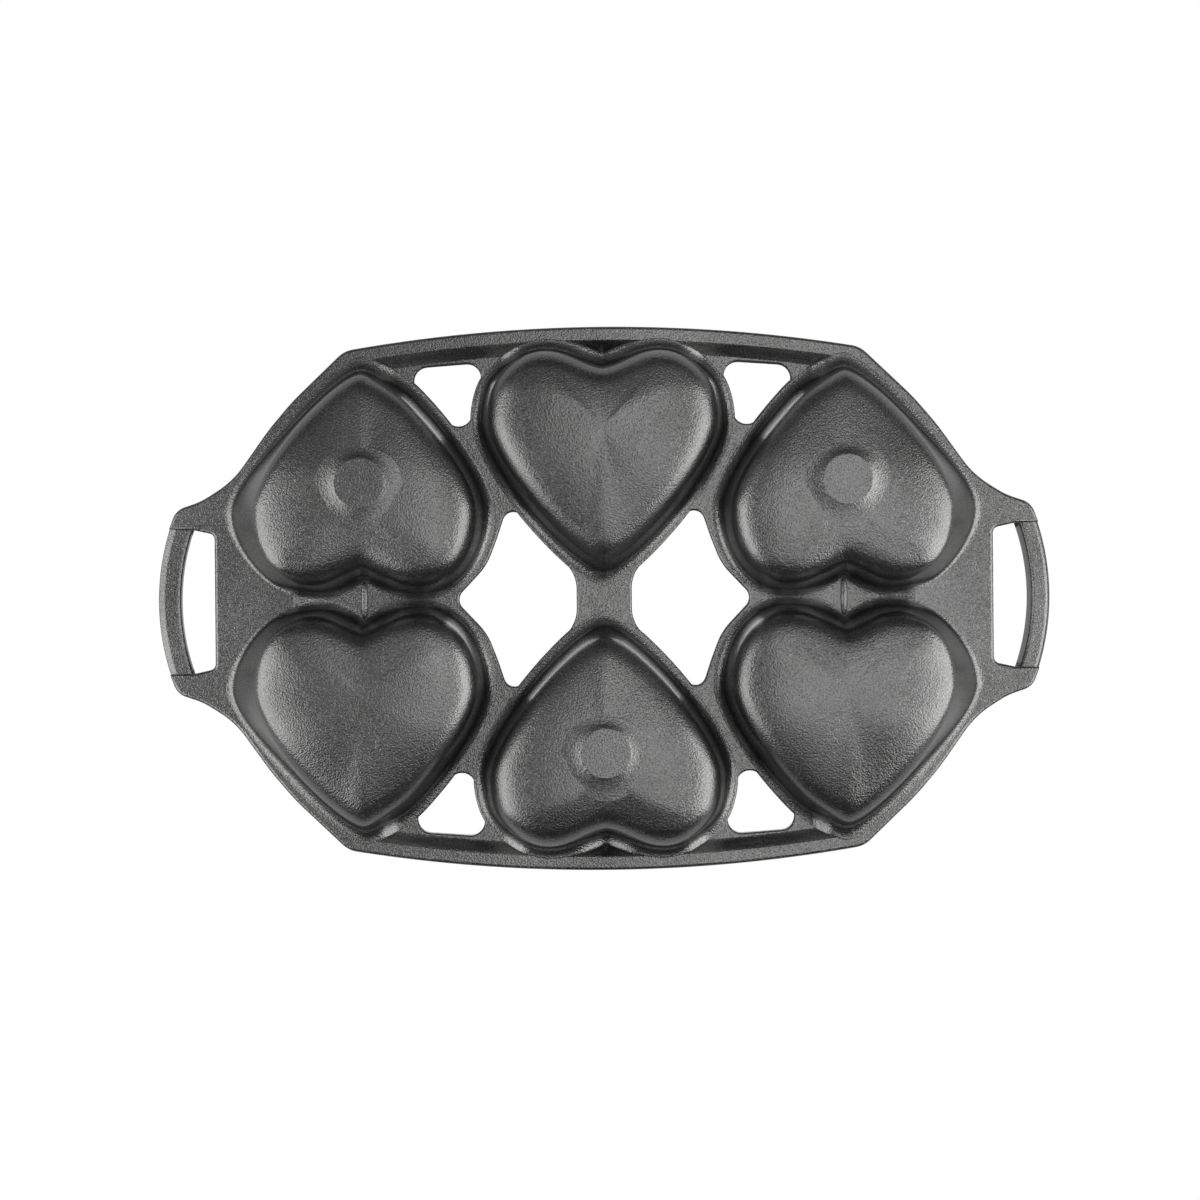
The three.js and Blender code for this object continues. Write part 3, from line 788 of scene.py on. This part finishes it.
def clearFromBehind(material, front):
    tree = material.node_tree
    behind = tree.nodes.new("ShaderNodeNewGeometry").outputs["Backfacing"]
    clear = tree.nodes.new("ShaderNodeBsdfTransparent").outputs[0]
    surface = mixedShader(tree, behind, front.outputs[0], clear)
    tree.links.new(surface, tree.nodes["Material Output"].inputs["Surface"])


# Floor just under the feet. Seen from below it is clear, and it lets the lower lamps through.
ground = {"halfSize": 6, "below": 0.0003, "colour": (0.82, 0.82, 0.82, 1), "roughness": 0.9}


def paleFloor():
    material = newMaterial("paleFloor")
    paint = material.node_tree.nodes["Principled BSDF"]
    paint.inputs["Base Color"].default_value = ground["colour"]
    paint.inputs["Roughness"].default_value = ground["roughness"]
    clearFromBehind(material, paint)
    return material


bm = bmesh.new()
bmesh.ops.create_grid(bm, x_segments=1, y_segments=1, size=ground["halfSize"])
bmesh.ops.translate(bm, verts=bm.verts, vec=(0, 0, -ground["below"]))
floor = toObject("floor", bm)
floor.data.materials.append(paleFloor())
floor.visible_diffuse = False
floor.visible_glossy = False
floor.visible_transmission = False
floor.visible_shadow = False

# A white card level with the deck and clear of its edge. Only the iron mirrors it, from below.
table = {"clear": 0.002, "reach": 2.4, "glow": 0.75}


def whiteTable():
    material = newMaterial("whiteTable")
    nodes = material.node_tree.nodes
    nodes.remove(nodes["Principled BSDF"])
    glow = nodes.new("ShaderNodeEmission")
    glow.inputs["Strength"].default_value = table["glow"]
    clearFromBehind(material, glow)
    return material


bm = bmesh.new()
verts = [bm.verts.new(point) for point in level(grown(outline, table["clear"]), deckTop)]
made = bmesh.ops.extrude_edge_only(bm, edges=closedEdges(bm, verts))["geom"]
far = [item for item in made if isinstance(item, bmesh.types.BMVert)]
bmesh.ops.scale(bm, verts=far, vec=(table["reach"], table["reach"], 1))
bm.normal_update()
bmesh.ops.reverse_faces(bm, faces=[face for face in bm.faces if face.normal.z > 0])
tableCard = toObject("tableCard", bm)
tableCard.data.materials.append(whiteTable())
tableCard.visible_camera = False
tableCard.visible_diffuse = False
tableCard.visible_transmission = False
tableCard.visible_shadow = False
print("stage:", floor.name, tableCard.name)

# World: white to the camera and a plain level on what is matt. Mirrored in the iron it is white near and
# above the horizon, dim overhead, where the pan shades itself, and a dim studio below, on the camera's side.
# The mirrored levels are (axis, from, to, level at from, level at to) along a ray's direction.
room = {
    "plain": 0.72,
    "front": ("Y", -0.45, 0.1, 0.45, 0.01), "frontFade": ("Y", -0.9, -0.5, -0.4, 0),
    "horizon": ("Z", -0.4, -0.1, 0, 0.05), "under": ("Z", -0.98, -0.88, 0.2, 0),
    "above": ("Z", -0.02, 0.04, 0, 1), "overhead": ("Z", 0.2, 0.55, 0.9, 0.07),
}


def roomWorld():
    world = bpy.data.worlds.new("room")
    world.use_nodes = True
    tree = world.node_tree
    nodes, link = tree.nodes, tree.links.new
    split = nodes.new("ShaderNodeSeparateXYZ")
    link(nodes.new("ShaderNodeTexCoord").outputs["Generated"], split.inputs[0])

    def ramp(name):
        axis, *numbers = room[name]
        node = nodes.new("ShaderNodeMapRange")
        for socket, number in zip(("From Min", "From Max", "To Min", "To Max"), numbers):
            node.inputs[socket].default_value = number
        link(split.outputs[axis], node.inputs["Value"])
        return node.outputs[0]

    def added(a, b):
        node = nodes.new("ShaderNodeMath")
        link(a, node.inputs[0])
        link(b, node.inputs[1])
        return node.outputs[0]

    below = added(added(added(ramp("front"), ramp("frontFade")), ramp("horizon")), ramp("under"))
    mirroredLevel = nodes.new("ShaderNodeMix")  # inputs 0, 2 and 3 are the share and its two numbers
    mirroredLevel.data_type = "FLOAT"
    link(ramp("above"), mirroredLevel.inputs[0])
    link(below, mirroredLevel.inputs[2])
    link(ramp("overhead"), mirroredLevel.inputs[3])
    mirrored = nodes.new("ShaderNodeBackground")
    link(mirroredLevel.outputs[0], mirrored.inputs["Strength"])

    plain = nodes.new("ShaderNodeBackground")
    plain.inputs["Color"].default_value = (1, 1, 1, 1)
    plain.inputs["Strength"].default_value = room["plain"]
    backdrop = nodes["Background"]
    backdrop.inputs["Color"].default_value = (1, 1, 1, 1)
    rays = nodes.new("ShaderNodeLightPath").outputs
    bounced = mixedShader(tree, rays["Is Glossy Ray"], plain.outputs[0], mirrored.outputs[0])
    straight = added(rays["Is Camera Ray"], rays["Is Transmission Ray"])
    seen = mixedShader(tree, straight, bounced, backdrop.outputs[0])
    link(seen, nodes["World Output"].inputs["Surface"])
    return world


scene.world = roomWorld()

# Softboxes as (place, target, width, depth, power). Matt surfaces get a smaller share of them.
softboxes = {
    "softLeft": ((-0.49, 0.11, -0.29), (-0.10, 0.03, 0.01), 0.62, 0.52, 3.3),
    "softRight": ((0.50, 0.09, -0.29), (0.10, 0.03, 0.01), 0.62, 0.56, 4.4),
    "softMiddle": ((0.07, 0.0, -0.6), (0.07, 0, 0.02), 0.20, 0.6, 0.95),
    "softAbove": ((0, -2.6, 3.1), (0, 0, 0.02), 4.5, 5.0, 120.0),
}
mattShare = 0.3
for name, (place, target, width, depth, power) in softboxes.items():
    lamp = bpy.data.lights.new(name, "AREA")
    lamp.shape = "RECTANGLE"
    lamp.size, lamp.size_y = width, depth
    lamp.energy = power
    lamp.diffuse_factor = mattShare
    holder = bpy.data.objects.new(name, lamp)
    holder.location = place
    holder.rotation_mode = "QUATERNION"
    holder.rotation_quaternion = (Vector(target) - Vector(place)).to_track_quat("-Z", "Y")
    holder.visible_camera = False
    scene.collection.objects.link(holder)
print("lamps:", len(softboxes))

# Camera under the pan, at the photo's framing
view = {"x": -0.0017, "y": 0.00064, "below": 1.45, "roll": 0.52, "lens": 109.4, "clipStart": 0.05}
camera = bpy.data.objects.new("camera", bpy.data.cameras.new("camera"))
camera.data.lens = view["lens"]
camera.data.clip_start = view["clipStart"]
camera.location = (view["x"], view["y"], rimLevel - view["below"])
camera.rotation_euler = (math.pi, 0, math.radians(view["roll"]))
scene.collection.objects.link(camera)
scene.camera = camera
print("camera:", camera.name)
